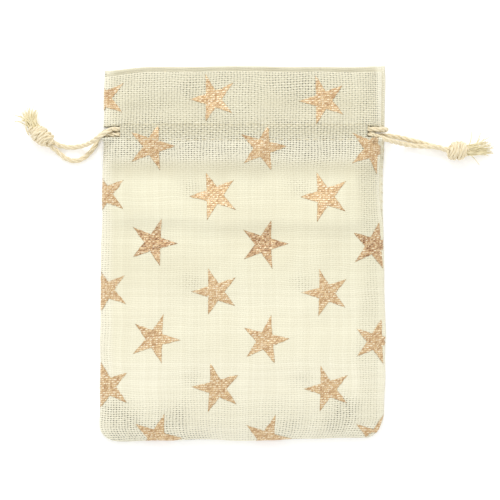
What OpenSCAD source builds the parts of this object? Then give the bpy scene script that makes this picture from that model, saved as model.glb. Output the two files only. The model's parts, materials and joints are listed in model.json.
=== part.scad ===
// Fabric gift sack lying on its back: a flat cotton pouch with a turned-in mouth and two drawcords.
// X runs across the sack, Y runs toward its mouth and Z points up, away from the surface it lies on.
// The origin is on that surface, under the middle of the cloth.

/* [Sack] */
// Width of the sack across its side seams
sack_w = 100; // [96:1:106]
// Length of the sack from the bottom fold to the back edge of the mouth
sack_l = 131; // [126:1:136]
// Radius of the two bottom corners
corner_r = 6; // [4:1:9]
// Height of the filled-out front panel above the surface
loft_h = 10.2; // [10:0.1:11.5]
// Distance that the front edge of the mouth stays below the back edge
mouth_step = 1.8; // [1:0.2:3]

/* [Cloth] */
// Thickness of one layer of cloth
cloth_t = 0.45; // [0.4:0.05:0.5]
// Length of the facing that is turned in at the mouth
facing_l = 36.8; // [34:0.2:40]
// Width of the cloth that the side seams leave inside
allowance_w = 5.4; // [4:0.2:5.4]

/* [Casing] */
// Distance from the back edge of the mouth to the middle of the cord casing
casing_drop = 22.8; // [22:0.2:24]
// Free width inside the casing, where the two cords run side by side
tunnel_w = 4.1; // [4:0.1:4.4]
// Width of each flat margin beside the casing, where it is stitched
margin_w = 0.9; // [0.8:0.1:1.1]
// Distance from each side edge to the place where the casing ends
casing_inset = 6.5; // [6:0.1:7]

/* [Cords] */
// Diameter of a drawcord
cord_d = 1.7; // [1.5:0.05:1.75]
// Distance between the middles of the two cords in the casing
cord_pitch = 2; // [1.95:0.05:2.05]

/* [Thread] */
// Length of one stitch
stitch_l = 2.2; // [1.8:0.1:2.6]
// Distance from one stitch to the next
stitch_pitch = 3; // [2.8:0.1:3.4]
// Thickness of the thread
thread_d = 0.3; // [0.2:0.05:0.35]

/* [Hidden] */

cloth_colour = [0.95, 0.93, 0.84];
facing_colour = [0.91, 0.88, 0.77];
cord_colour = [0.90, 0.84, 0.70];
thread_colour = [0.82, 0.77, 0.62];

// Small free gap between layers that lie on each other
gap = 0.05;
half_w = sack_w / 2;
bottom_y = -sack_l / 2;
mouth_y = sack_l / 2;
casing_y = mouth_y - casing_drop;
facing_end_y = mouth_y - facing_l;
casing_half = half_w - casing_inset;

// The casing's section: inside walls, outside walls and the ends of its stitched margins
tunnel_half = tunnel_w / 2;
wall_half = tunnel_half + cloth_t;
margin_half = wall_half + margin_w;
stitch_row = wall_half + margin_w / 2;
tunnel_h = 2;

// Heights of the layers, from the surface upward
back_top = cloth_t;
back_facing_z = back_top + gap;
back_facing_top = back_facing_z + cloth_t;
front_facing_z = 7.3;
front_facing_top = front_facing_z + cloth_t;
front_z = front_facing_top + gap;
front_top = front_z + cloth_t;

// The front panel: where its crown starts to fall toward the bottom fold, and its flat middle
rim_z = back_top + 2 * gap;
bottom_round_l = 30;
belly_y = bottom_y + bottom_round_l;
belly_flat = 16;
belly_end_y = -10;
front_end_y = casing_y - margin_half - gap;

// The front lip: the double layer of cloth above the casing
lip_t = 2 * cloth_t + gap;
lip_inset = 0.2;
lip_gap = 0.4;
lip_rim_rise = 0.35;
lip_mouth_flat = 30;
lip_half_w = half_w - lip_inset;
lip_start_y = casing_y + margin_half + lip_gap;
lip_end_y = mouth_y - mouth_step;
lip_rim_z = back_facing_top + lip_rim_rise;

// Heights of the cord runs in the front and the back casing, their places across them, the distance of
// each bight from its side edge, and where the free ends leave the casings
left_bight_inset = 3.2;
right_bight_inset = 3.5;
exit_x = 44;
front_run_z = front_facing_top + tunnel_h / 2;
back_run_z = back_top + tunnel_h / 2;
left_run_y = casing_y + cord_pitch / 2;
right_run_y = casing_y - cord_pitch / 2;
bight_r = (front_run_z - back_run_z) / 2;
bight_z = (front_run_z + back_run_z) / 2;
left_bight_x = half_w - left_bight_inset;
right_bight_x = half_w - right_bight_inset;
cord_sides = 8;

// Route of the left drawcord from its knot over the left edge to the front casing, chosen by hand
left_front_route = [
    [-68.2, 40.4, 2.9], [-66, 38.9, 1.9], [-63.6, 38, 1.1], [-60.6, 37.7, 0.95], [-58.2, 37.9, 1.3],
    [-56, 38.3, 2.6], [-54.1, 38.9, 4.9], [-52.4, 39.6, 7.5], [-50.6, 40.7, 9.6], [-48.5, 42, 10.5],
    [-46.3, 43.3, 9.9], [-exit_x, left_run_y, front_run_z]];
// Route of the left drawcord from the back casing round the left edge back to its knot
left_back_route = [
    [-exit_x, left_run_y, back_run_z], [-47.2, 43.5, 1.2], [-49.6, 42.6, 0.95], [-51.1, 40.9, 0.9],
    [-52, 38.6, 0.9], [-53.9, 36, 0.9], [-56.4, 33.8, 0.9], [-59.2, 32.9, 0.9], [-62.2, 33.6, 0.9],
    [-64.6, 35.4, 1], [-66.4, 36.9, 1.7], [-68.2, 38.4, 2.7]];
// Route of the right drawcord from its knot over the right edge to the front casing. Near the knot it
// lies on top of the other end of the same cord.
right_front_route = [
    [73.6, 36.5, 3.9], [71.2, 37.05, 3.3], [68.6, 37.75, 2.95], [65.4, 37.9, 2.7], [61.8, 38.1, 2.05],
    [58.8, 38.5, 1.6], [56.4, 38.9, 2.7], [54.4, 39.2, 4.7], [52.5, 39.5, 6.9], [50.6, 40, 8.5],
    [48.4, 40.7, 9.1], [46.2, 41.4, 8.9], [exit_x, right_run_y, front_run_z]];
// Route of the right drawcord from the back casing round the right edge back to its knot
right_back_route = [
    [exit_x, right_run_y, back_run_z], [47, right_run_y, 1.2], [50.5, 41.8, 0.95], [54, 41.45, 0.9],
    [57.6, 40.75, 0.9], [61.4, 39.85, 0.9], [65.2, 38.75, 0.9], [68.6, 37.8, 0.95], [71.4, 37, 1.3],
    [73.6, 36.5, 1.9]];

// Knots: middle, direction in plan, length along the cord and radius
left_knot_at = [-70.8, 41.5];
left_knot_turn = 138;
left_knot_l = 9.1;
left_knot_r = 3.1;
right_knot_at = [75.8, 36.4];
right_knot_turn = 0;
right_knot_l = 7.6;
right_knot_r = 3.3;

// Frayed ends: start, direction in plan and length, then the height and both radii
left_tassel_at = [-72.9, 43.7];
left_tassel_turn = 128;
left_tassel_l = 7.6;
right_tassel_at = [78.4, 36.4];
right_tassel_turn = 3;
right_tassel_l = 9.6;
tassel_z = 3;
tassel_thin_r = 1.2;
tassel_wide_r = 2.7;

// Flats round a curved surface of revolution
round_sides = 48;

function smooth(t) = let (c = max(0, min(1, t))) c * c * (3 - 2 * c);

// Half width of the sack at a height y, with its rounded bottom corners
function side_x(y) = let (d = max(0, bottom_y + corner_r - y))
    half_w - corner_r + sqrt(corner_r * corner_r - d * d);

// Half width of the flat middle of the front panel, and its height, both at a height y
function front_flat(y) = belly_flat
    + (casing_half - belly_flat) * smooth((y - belly_end_y) / (front_end_y - belly_end_y));
function front_crown(y) = front_top + (loft_h - front_top) * smooth((front_end_y - y) / front_end_y);

// A section's points across the width: share of the flat middle or of the rounded side, and its height
flat_steps = 4;
round_steps = 8;
function section_angle(i) = let (k = abs(i) - flat_steps) k <= 0 ? 0 : 90 * k / round_steps;
function section_x(i, flat, side) = let (k = min(abs(i), flat_steps) / flat_steps)
    sign(i) * (k * flat + (side - flat) * sin(section_angle(i)));
function section_point(i, y, flat, side, low, high) =
    [section_x(i, flat, side), y, low + (high - low) * cos(section_angle(i))];

// Joins an outer and an inner grid of points, row by row, into one closed shell
module shell(outer, inner) {
    rows = len(outer);
    cols = len(outer[0]);
    points = concat([for (row = outer) each row], [for (row = inner) each row]);
    shift = rows * cols;
    top = [for (r = [0:rows - 2]) for (c = [0:cols - 2]) let (k = r * cols + c) each
        [[k, k + cols, k + 1], [k + 1, k + cols, k + cols + 1]]];
    under = [for (r = [0:rows - 2]) for (c = [0:cols - 2]) let (k = shift + r * cols + c) each
        [[k, k + 1, k + cols], [k + 1, k + cols + 1, k + cols]]];
    ends = [for (c = [0:cols - 2]) let (k = c, m = (rows - 1) * cols + c) each
        [[k, k + 1, k + shift], [k + 1, k + 1 + shift, k + shift],
         [m, m + shift, m + 1], [m + 1, m + shift, m + 1 + shift]]];
    sides = [for (r = [0:rows - 2]) let (k = r * cols, m = r * cols + cols - 1) each
        [[k, k + shift, k + cols], [k + cols, k + shift, k + cols + shift],
         [m, m + cols, m + shift], [m + cols, m + cols + shift, m + shift]]];
    polyhedron(points, concat(top, under, ends, sides));
}

// One row of the front panel. turn is 90 at the bottom fold and 0 where the rounding ends, inset is
// 0 for the outside and the cloth's thickness for the inside.
function front_row(y, turn, inset) =
    let (across = section_count(),
         row_y = turn > 0 ? belly_y - (bottom_round_l - inset) * sin(turn) : y,
         outer_y = turn > 0 ? belly_y - bottom_round_l * sin(turn) : y,
         side = side_x(outer_y) - inset,
         high = rim_z + (front_crown(row_y) - inset - rim_z) * cos(turn))
    [for (i = [-across:across]) section_point(i, row_y, front_flat(row_y), side, rim_z, high)];
function section_count() = flat_steps + round_steps;
fold_steps = 8;
body_steps = 12;
function front_grid(inset) = concat(
    [for (k = [fold_steps:-1:1]) front_row(0, 90 * k / fold_steps, inset)],
    [for (k = [0:body_steps]) front_row(belly_y + (front_end_y - belly_y) * k / body_steps, 0, inset)]);

// One row of the front lip
lip_steps = 5;
function lip_flat(k) = casing_half + (lip_mouth_flat - casing_half) * smooth(k / lip_steps);
function lip_grid(inset) =
    let (across = section_count())
    [for (k = [0:lip_steps]) let (y = lip_start_y + (lip_end_y - lip_start_y) * k / lip_steps)
        [for (i = [-across:across])
            section_point(i, y, lip_flat(k), lip_half_w - inset, lip_rim_z, front_top - inset)]];

// Section of a casing: a flat strip from low_y to high_y that rises over the cords
module casing_section(low_y, high_y) {
    rise = tunnel_h - gap;
    polygon([
        [low_y, 0], [casing_y - tunnel_half - cloth_t / 2, 0], [casing_y - tunnel_half, rise],
        [casing_y + tunnel_half, rise], [casing_y + tunnel_half + cloth_t / 2, 0], [high_y, 0],
        [high_y, cloth_t], [casing_y + wall_half + cloth_t / 2, cloth_t],
        [casing_y + wall_half, rise + cloth_t], [casing_y - wall_half, rise + cloth_t],
        [casing_y - wall_half - cloth_t / 2, cloth_t], [low_y, cloth_t]]);
}

// Lays a section drawn in Y and Z along X, centred
module along_x(length) {
    translate([-length / 2, 0, 0])
        rotate([90, 0, 90])
            linear_extrude(length)
                children();
}

// Outline of the sack seen from above, without its notches
module outline() {
    translate([-half_w, bottom_y + corner_r])
        square([sack_w, sack_l - corner_r]);
    translate([-half_w + corner_r, bottom_y])
        square([sack_w - 2 * corner_r, corner_r + 1]);
    for (side = [-1, 1])
        translate([side * (half_w - corner_r), bottom_y + corner_r])
            circle(corner_r, $fn = round_sides);
}

module back_panel() {
    notch_gap = 0.2;
    notch_half = wall_half + cloth_t / 2 + notch_gap;
    color(cloth_colour)
        linear_extrude(cloth_t)
            difference() {
                outline();
                for (side = [-1, 1])
                    translate([side * (casing_half + casing_inset), casing_y])
                        square([2 * casing_inset, 2 * notch_half], center = true);
            }
}

// The back of the mouth, turned in over the back panel and raised over the cords
module back_facing() {
    wing_overlap = 0.7;
    facing_inset = 0.5;
    wing_y = casing_y + margin_half - wing_overlap;
    facing_half = half_w - facing_inset;
    color(facing_colour) {
        translate([0, 0, back_facing_z])
            along_x(2 * casing_half - 2 * gap)
                casing_section(facing_end_y, mouth_y - gap);
        translate([-facing_half, wing_y, back_facing_z])
            cube([2 * facing_half, mouth_y - gap - wing_y, cloth_t]);
    }
}

module front_panel() {
    color(cloth_colour)
        shell(front_grid(0), front_grid(cloth_t));
}

// The strip of the front panel that covers the cords
module front_casing() {
    color(cloth_colour)
        translate([0, 0, front_z])
            along_x(2 * casing_half)
                casing_section(casing_y - margin_half, casing_y + margin_half);
}

// The front of the mouth, turned in behind the casing
module front_facing() {
    taper_w = 6.3;
    taper_l = 9;
    full = casing_half - gap;
    narrow = full - taper_w;
    narrow_y = facing_end_y + taper_l;
    color(facing_colour)
        translate([0, 0, front_facing_z])
            linear_extrude(cloth_t)
                polygon([
                    [-full, casing_y + margin_half], [-full, narrow_y], [-narrow, facing_end_y],
                    [narrow, facing_end_y], [full, narrow_y], [full, casing_y + margin_half]]);
}

module front_lip() {
    color(cloth_colour)
        shell(lip_grid(0), lip_grid(lip_t));
}

// The folded-in cloth along one side seam
module seam_allowance(side) {
    start_l = 8;
    low_y = bottom_y + start_l;
    inner_x = casing_half + 2 * gap;
    color(facing_colour)
        translate([side > 0 ? inner_x : -inner_x - allowance_w, low_y, back_top + gap])
            cube([allowance_w, casing_y - margin_half - 2 * gap - low_y, 2 * cloth_t]);
}

// A row of stitches along X, centred
module stitch_row_x(length, y, z) {
    count = floor(length / stitch_pitch);
    for (k = [0:count - 1])
        translate([(k - (count - 1) / 2) * stitch_pitch, y, z + thread_d / 2])
            cube([stitch_l, thread_d, thread_d], center = true);
}

// A row of stitches along Y, from low_y upward
module stitch_row_y(low_y, length, x, z) {
    count = floor(length / stitch_pitch);
    for (k = [0:count - 1])
        translate([x, low_y + (k + 0.5) * stitch_pitch, z + thread_d / 2])
            cube([thread_d, stitch_l, thread_d], center = true);
}

// Both rows of stitches beside a casing, at a height z
module casing_stitches(z) {
    end_inset = 1;
    row_shift = 0.1;
    color(thread_colour)
        for (side = [-1, 1])
            stitch_row_x(2 * (casing_half - end_inset), casing_y + side * (stitch_row + row_shift), z);
}

module front_casing_stitches() {
    casing_stitches(front_top + gap);
}

module back_casing_stitches() {
    casing_stitches(back_facing_top + gap);
}

module side_stitches(side) {
    start_l = 9;
    end_gap = 1;
    seam_inset = 1.4;
    low_y = bottom_y + start_l;
    color(thread_colour)
        stitch_row_y(low_y, casing_y - margin_half - end_gap - low_y, side * (half_w - seam_inset),
                     back_top + 2 * gap + 2 * cloth_t);
}

// The turn of a cord's bight from one casing to the other, round the side edge
bight_turns = 8;
function bight(side, x, y) = [for (k = [0:bight_turns]) let (a = 180 * k / bight_turns)
    [side * (x + bight_r * sin(a)), y, bight_z + bight_r * cos(a)]];

// Straight run of a cord inside a casing, with its end points left out
run_steps = 4;
function run(x1, x2, y, z) = [for (k = [1:run_steps - 1]) [x1 + (x2 - x1) * k / run_steps, y, z]];

left_cord_path = concat(
    left_front_route, run(-exit_x, left_bight_x, left_run_y, front_run_z),
    bight(1, left_bight_x, left_run_y), run(left_bight_x, -exit_x, left_run_y, back_run_z),
    left_back_route);
right_cord_path = concat(
    right_front_route, run(exit_x, -right_bight_x, right_run_y, front_run_z),
    bight(-1, right_bight_x, right_run_y), run(-right_bight_x, exit_x, right_run_y, back_run_z),
    right_back_route);

function unit(v) = v / norm(v);
function heading(path, k) = unit(path[min(k + 1, len(path) - 1)] - path[max(k - 1, 0)]);

// Each ring keeps the direction of the ring before it, turned as little as the bend asks for
function carried(path, k, side) = let (d = heading(path, k)) unit(side - d * (side * d));
function ring_sides(path, k = 0, side = [0, 0, 1]) = let (now = carried(path, k, side))
    k == len(path) - 1 ? [now] : concat([now], ring_sides(path, k + 1, now));

// A round cord as one closed tube along its path
module tube(path) {
    starts = ring_sides(path);
    count = len(path);
    points = [for (k = [0:count - 1]) let (d = heading(path, k), u = starts[k], v = cross(d, u))
        for (j = [0:cord_sides - 1]) let (a = 360 * (j + 0.5) / cord_sides)
            path[k] + cord_d / 2 * (u * cos(a) + v * sin(a))];
    walls = [for (k = [0:count - 2]) for (j = [0:cord_sides - 1])
        let (a = k * cord_sides + j, b = k * cord_sides + (j + 1) % cord_sides) each
            [[a, b + cord_sides, b], [a, a + cord_sides, b + cord_sides]]];
    start = [for (j = [0:cord_sides - 1]) j];
    finish = [for (j = [cord_sides - 1:-1:0]) (count - 1) * cord_sides + j];
    polyhedron(points, concat(walls, [start], [finish]));
}

module left_cord() {
    color(cord_colour) tube(left_cord_path);
}

module right_cord() {
    color(cord_colour) tube(right_cord_path);
}

// A knot as a rounded bar that lies on the surface
module knot(at, turn, length, radius) {
    bar = length - 2 * radius;
    color(cord_colour)
        translate([at[0], at[1], radius + gap])
            rotate([0, 0, turn])
                rotate([0, 90, 0]) {
                    cylinder(bar, r = radius, center = true, $fn = round_sides);
                    for (end = [-1, 1])
                        translate([0, 0, end * bar / 2])
                            sphere(radius, $fn = round_sides);
                }
}

module left_knot() {
    knot(left_knot_at, left_knot_turn, left_knot_l, left_knot_r);
}

module right_knot() {
    knot(right_knot_at, right_knot_turn, right_knot_l, right_knot_r);
}

// The frayed ends beyond a knot, as a widening bundle
module tassel(at, turn, length) {
    color(cord_colour)
        translate([at[0], at[1], tassel_z])
            rotate([0, 0, turn])
                rotate([0, 90, 0])
                    cylinder(length, tassel_thin_r, tassel_wide_r, $fn = round_sides);
}

module left_tassel() {
    tassel(left_tassel_at, left_tassel_turn, left_tassel_l);
}

module right_tassel() {
    tassel(right_tassel_at, right_tassel_turn, right_tassel_l);
}

back_panel();
back_facing();
front_panel();
front_casing();
front_facing();
front_lip();
seam_allowance(-1);  // left_seam_allowance
seam_allowance(1);  // right_seam_allowance
front_casing_stitches();
back_casing_stitches();
side_stitches(-1);  // left_side_stitches
side_stitches(1);  // right_side_stitches
left_cord();
left_knot();
left_tassel();
right_cord();
right_knot();
right_tassel();
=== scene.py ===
"""Looks of the fabric gift sack: woven cloth, foil stars, twisted drawcords, knots and frayed ends.

Lengths are in millimetres in the shape functions and become metres when a mesh is made.
The cloth is drawn in strip coordinates: s across the sack and v along the cut strip of cloth.
"""
import collections
import json
import math

import bpy
import numpy as np
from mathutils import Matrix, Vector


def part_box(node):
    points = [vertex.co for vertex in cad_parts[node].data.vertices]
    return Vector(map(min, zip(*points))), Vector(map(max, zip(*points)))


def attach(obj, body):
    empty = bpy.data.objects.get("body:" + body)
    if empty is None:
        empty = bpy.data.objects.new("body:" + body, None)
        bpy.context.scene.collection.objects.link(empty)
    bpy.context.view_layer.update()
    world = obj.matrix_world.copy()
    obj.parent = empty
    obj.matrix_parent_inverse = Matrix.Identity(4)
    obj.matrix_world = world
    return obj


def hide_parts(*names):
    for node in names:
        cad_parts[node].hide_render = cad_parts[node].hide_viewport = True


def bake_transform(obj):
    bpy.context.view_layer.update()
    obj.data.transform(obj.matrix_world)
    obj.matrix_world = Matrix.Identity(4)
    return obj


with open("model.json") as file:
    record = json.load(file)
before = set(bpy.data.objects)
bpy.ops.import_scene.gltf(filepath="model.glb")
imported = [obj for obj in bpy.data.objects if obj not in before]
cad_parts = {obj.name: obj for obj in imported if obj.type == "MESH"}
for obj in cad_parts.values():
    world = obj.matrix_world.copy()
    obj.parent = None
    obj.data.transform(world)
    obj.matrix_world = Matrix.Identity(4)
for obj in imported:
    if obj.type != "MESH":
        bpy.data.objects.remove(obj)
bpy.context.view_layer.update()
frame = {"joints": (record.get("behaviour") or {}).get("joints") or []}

MM = 0.001


# ---- sizes, from the frame

def mm_box(node):
    """Lowest and highest corners of a CAD node, in millimetres."""
    low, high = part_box(node)
    return np.array(low) / MM, np.array(high) / MM


panel_low, panel_high = mm_box("back_panel")
casing_low, casing_high = mm_box("front_casing")
front_top = mm_box("front_panel")[1]
lip_top = mm_box("front_lip")[1]
HALF_W = panel_high[0]
BOTTOM = panel_low[1]
MOUTH = panel_high[1]
CASING_Y = (casing_low[1] + casing_high[1]) / 2
CASING_HALF = casing_high[0]
RIDGE_TOP = casing_high[2]
CASING_MARGIN = casing_low[2] + panel_high[2]
LOFT = front_top[2]
FRONT_END = front_top[1]
LIP_END = lip_top[1] - 0.55
HINGE_Y = frame["joints"][0]["pos_m"][1] / MM
FACING_END = MOUTH - 36.8

# Thickness of the cloth, width of the seam allowances, height of the side seams and of the back
CLOTH_T = 0.4
ALLOWANCE = 5.4
SEAM_Z = 1.8
FLOOR_GAP = 0.28
# Rows of casing stitches, the shaded line above the cords, and the side notches that they pass through
STITCH_LOW = CASING_Y - 2.65
STITCH_HIGH = CASING_Y + 2.6
VALLEY_Y = CASING_Y + 1.7
NOTCH_LOW = CASING_Y - 1.95
NOTCH_HIGH = CASING_Y + 2.05
# Where the front starts to fall toward the bottom fold, and where the back starts to rise to it
BOTTOM_ROUND = 30.0
BELLY_Y = BOTTOM + BOTTOM_ROUND
BACK_ROUND = 7.0
# Half widths of the level middle of the front, low on the sack and at the mouth
BELLY_FLAT = 16.0
LIP_MOUTH_FLAT = 30.0
# The left edge bulges, then draws in toward the mouth, the right edge sways, and both wander
LEFT_BULGE = 0.4
LEFT_TAPER = 1.7
RIGHT_SWAY = 0.4
EDGE_WANDER = 0.18
# Length and width of the worn corners at the bottom, left then right
CORNER_LENGTHS = (5.6, 9.2)
CORNER_WIDTHS = (6.6, 5.9)
# The front's seam lies a little inside the back's, and rolls in further on the right near the mouth
SEAM_INSET = 0.1
ROLL_W = 1.25
ROLL_START = 8
# The crosswise fold of the front: where its crest lies, its height, and its width above and below
CREST_Y = 12.9
CREST_H = 1.25
CREST_ABOVE = 13
CREST_BELOW = 3.3
# Heights of the broad and middle unevenness of loose cloth, and of the puckers beside the casing
BROAD_H = 0.3
MIDDLE_H = 0.16
PUCKER_H = 0.22
# How far up from the fold the pulled bottom edge shows, and where the level middle starts to widen
SINK_L = 26
FLAT_START = -10
# The cloth over the cords: half width of the ridge, and how far down it takes to ease off
RIDGE_HALF = 2.6
DRAPE_L = 14
# Half the gap between the two seam allowances, and how far the back facing rises over the cords
ALLOWANCE_GAP = 0.03
BACK_RIDGE_H = 1.95
# Gap between the front lip and the facing behind it, and how the lip is tucked in and rounded over
FACING_DROP = 0.95
LIP_TUCK = 0.08
LIP_ROUND = 0.3
# How far the mouth's edge lies past the panel's, and how far it falls back at the left corner
MOUTH_PAST = 0.8
MOUTH_FALL = 1.4
# Strip coordinate of the mouth's back edge
V_MOUTH = 2 * BOTTOM - MOUTH


# ---- smooth fields

def smooth(value):
    value = np.clip(value, 0.0, 1.0)
    return value * value * (3 - 2 * value)


def bell(value, width):
    return np.exp(-(value / width) ** 2)


class Field:
    """A smooth uneven field of sine waves with seeded directions and phases, about -1 to 1."""

    def __init__(self, seed, shortest, longest, count=14):
        draw = np.random.default_rng(seed)
        angles = draw.uniform(0, 2 * math.pi, count)
        numbers = 2 * math.pi / draw.uniform(shortest, longest, count)
        self.kx = numbers * np.cos(angles)
        self.ky = numbers * np.sin(angles)
        self.phase = draw.uniform(0, 2 * math.pi, count)

    def __call__(self, x, y):
        x, y = np.asarray(x, float), np.asarray(y, float)
        total = np.zeros(np.broadcast(x, y).shape)
        for kx, ky, phase in zip(self.kx, self.ky, self.phase, strict=True):
            total += np.sin(kx * x + ky * y + phase)
        return total / math.sqrt(len(self.phase)) * 0.8


BROAD = Field(3, 26, 60)
MIDDLE = Field(5, 9, 20)
FINE = Field(8, 3.5, 7)
PUCKER = Field(12, 2.4, 6)
EDGE = Field(15, 7, 30)


# ---- shape of the cloth

def edge_x(side, y):
    """Half width of the sack at y, on the side of sign side, with its worn corners."""
    left = HALF_W + LEFT_BULGE - LEFT_TAPER * np.clip((y - BOTTOM) / (MOUTH - BOTTOM), 0, 2) ** 1.8
    right = HALF_W - 0.05 + RIGHT_SWAY * np.cos(2 * math.pi * (y + 30) / 90)
    corner_l = np.where(side < 0, *CORNER_LENGTHS)
    share = np.clip((BOTTOM + corner_l - y) / corner_l, 0, 1)
    corner = np.where(side < 0, *CORNER_WIDTHS) * (1 - np.sqrt(1 - share * share))
    return np.where(side < 0, left, right) - corner + EDGE_WANDER * EDGE(y, side * 40)


def across(s, y):
    """x for the cross coordinate s. Past the side edge the cloth turns back inside."""
    side = np.sign(s)
    reach = np.abs(s)
    edge = edge_x(side, y)
    outside = reach * edge / HALF_W
    inside = edge - (reach - HALF_W)
    return side * np.where(reach <= HALF_W, outside, inside)


def front_across(s, y):
    """x for the cross coordinate s on the front layers, and where their side edge lies.

    On the right the seam rolls forward toward the mouth, so the back shows beside the front.
    """
    side = np.sign(s)
    reach = np.abs(s)
    edge = edge_x(side, y)
    roll = SEAM_INSET + np.where(side > 0, ROLL_W * smooth((y - ROLL_START) / 16), 0)
    out = reach * edge / HALF_W - roll * np.clip((reach - CASING_HALF) / (HALF_W - CASING_HALF), 0, 1)
    turned_in = edge - roll - (reach - HALF_W)
    return side * np.where(reach <= HALF_W, out, turned_in), edge - roll


def sink(x, y):
    """How far the bottom edge is pulled up, more at the right than at the left."""
    pulled = 1.1 * smooth((x + 5) / 52) + 0.35 * bell(x + 16, 8) - 0.35 * bell(x + 44, 6)
    return (pulled + 0.15 * EDGE(x, 90) - 0.45) * smooth((BOTTOM + SINK_L - y) / SINK_L)


def front_flat(y):
    """Half width of the front's level middle."""
    share = smooth((y - FLAT_START) / (FRONT_END - FLAT_START))
    return BELLY_FLAT + (CASING_HALF - BELLY_FLAT) * share


def unevenness(x, y, fine_h):
    """Height of the uneven surface of loose cloth."""
    return BROAD_H * BROAD(x, y) + MIDDLE_H * MIDDLE(x, y) + fine_h * FINE(x, y)


def wrinkles(x, y):
    """Height of the loose folds of the front cloth."""
    near_casing = np.exp(-np.maximum(0, STITCH_LOW - y) / 5.0)
    from_crest = y - CREST_Y - 0.7 * EDGE(x * 0.6, 20) + 1.2 * smooth((x + 25) / 25)
    fold = CREST_H * bell(from_crest, np.where(from_crest > 0, CREST_ABOVE, CREST_BELOW))
    trough = 0.55 * bell(from_crest + 7, 5)
    lower = 0.35 * bell(y + 46, 5) + 0.25 * bell(y + 20 + 4 * np.sin(x / 19), 4)
    edge_rolls = (0.5 * bell(y - 10, 9) + 0.4 * bell(y + 24, 8)) * smooth((x - 36) / 6)
    puckers = PUCKER_H * near_casing * PUCKER(x, y * 0.18)
    return fold - trough - lower - edge_rolls + unevenness(x, y, 0.05) + puckers


def front_height(x, y, side_w):
    """Height of the front's outer face over the body of the sack."""
    flat = front_flat(y)
    crown = CASING_MARGIN + (LOFT - CASING_MARGIN) * smooth((FRONT_END - y) / FRONT_END)
    q = np.clip((np.abs(x) - flat) / (side_w - flat), 0, 1)
    r = np.clip((BELLY_Y - y) / BOTTOM_ROUND, 0, 1)
    swell = np.sqrt(1 - q * q) * np.sqrt(1 - r * r)
    settle = smooth((STITCH_LOW + 0.5 - y) / 4) * swell
    return SEAM_Z + (crown + drape(y) - SEAM_Z) * swell + (wrinkles(x, y) - 0.25) * settle


def ridge(y):
    """Rise of the cloth over the pair of cords, from 0 to 1."""
    return np.sqrt(1 - np.clip(np.abs(y - CASING_Y) / RIDGE_HALF, 0, 1) ** 4)


def drape(y):
    """Rise of the cloth that hangs from the cords, easing off toward the middle of the sack."""
    hang = (RIDGE_TOP - CASING_MARGIN) * (1 - smooth((CASING_Y - 0.9 - y) / DRAPE_L))
    return hang - 0.2 * bell(y - STITCH_LOW, 0.8)


def casing_height(x, y):
    """Height of the casing: steep to the upper stitches, draped from the cords below."""
    over = np.where(y > CASING_Y, ridge(y), 1)
    rise = np.where(y > CASING_Y, (RIDGE_TOP - CASING_MARGIN) * over, drape(y))
    wave = 0.1 * PUCKER(x, y * 0.3) * (1 - over) + 0.12 * (1 + PUCKER(x * 0.8, y * 0.1)) * over
    return CASING_MARGIN + rise + wave * smooth((y - FRONT_END) / 1.5)


def back_height(x, y, side_w):
    """Height of the back's outer face, which turns up to the seams and the bottom fold."""
    q = np.clip((np.abs(x) - (side_w - BACK_ROUND)) / BACK_ROUND, 0, 1)
    r = np.clip((BOTTOM + BACK_ROUND - y) / BACK_ROUND, 0, 1)
    lifted = 1 - np.sqrt(1 - q * q) * np.sqrt(1 - r * r)
    above_notch = smooth((y - NOTCH_LOW + 6) / 6)
    rise = (SEAM_Z - FLOOR_GAP) * lifted * (1 - 0.75 * above_notch)
    return FLOOR_GAP + rise + 0.1 * (1 + MIDDLE(x, y)) * (1 - np.clip(lifted, 0, 1))


def back_facing_height(x, y):
    """Height of the facing turned in over the back, rounded over at the mouth's edge."""
    from_edge = MOUTH - y
    turned = 0.7 * np.sqrt(1 - (1 - np.clip(from_edge / 0.6, 0, 1)) ** 2)
    return FLOOR_GAP + 0.2 + turned + 0.1 * MIDDLE(x, y) + 0.08 * bell(from_edge, 6) * FINE(x, y)


def sack_y(v):
    """Y on the main strip: down the front, up the back, then down again inside the mouth."""
    return np.where(v >= BOTTOM, v, np.where(v >= V_MOUTH, 2 * BOTTOM - v, MOUTH - (V_MOUTH - v)))


def lip_y(v):
    """Y on the mouth strip: up the front lip, then down inside it."""
    return np.where(v <= LIP_END, v, 2 * LIP_END - v)


def sack_surface(s, v):
    """Outer face of the main strip: down the front, round the fold, up the back and into the mouth."""
    s, v = np.broadcast_arrays(np.asarray(s, float), np.asarray(v, float))
    on_front = v >= BOTTOM
    on_back = (v < BOTTOM) & (v >= V_MOUTH)
    y = sack_y(v)
    front_x, front_w = front_across(s, y)
    side_w = np.where(on_front, front_w, edge_x(np.sign(s), y))
    x = np.where(on_front, front_x, across(s, y))
    turned_in = np.abs(s) > HALF_W
    front = np.where(y > FRONT_END, casing_height(x, y), front_height(x, y, side_w))
    front = np.where(turned_in, SEAM_Z + ALLOWANCE_GAP, front)
    back = np.where(turned_in, SEAM_Z - ALLOWANCE_GAP, back_height(x, y, side_w))
    inner = back_facing_height(x, y) + BACK_RIDGE_H * ridge(y) * (np.abs(s) <= CASING_HALF)
    z = np.where(on_front, front, np.where(on_back, back, inner))
    y = y + mouth_wave(x) * smooth((y - 50) / 15) * ~on_front + sink(x, y)
    return np.stack([x, y, z], axis=-1)


def mouth_wave(x):
    """How the mouth's edge wanders along Y."""
    return MOUTH_PAST + 0.16 * EDGE(x * 0.7, 3.0) - MOUTH_FALL * smooth((-32 - x) / 16)


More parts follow.
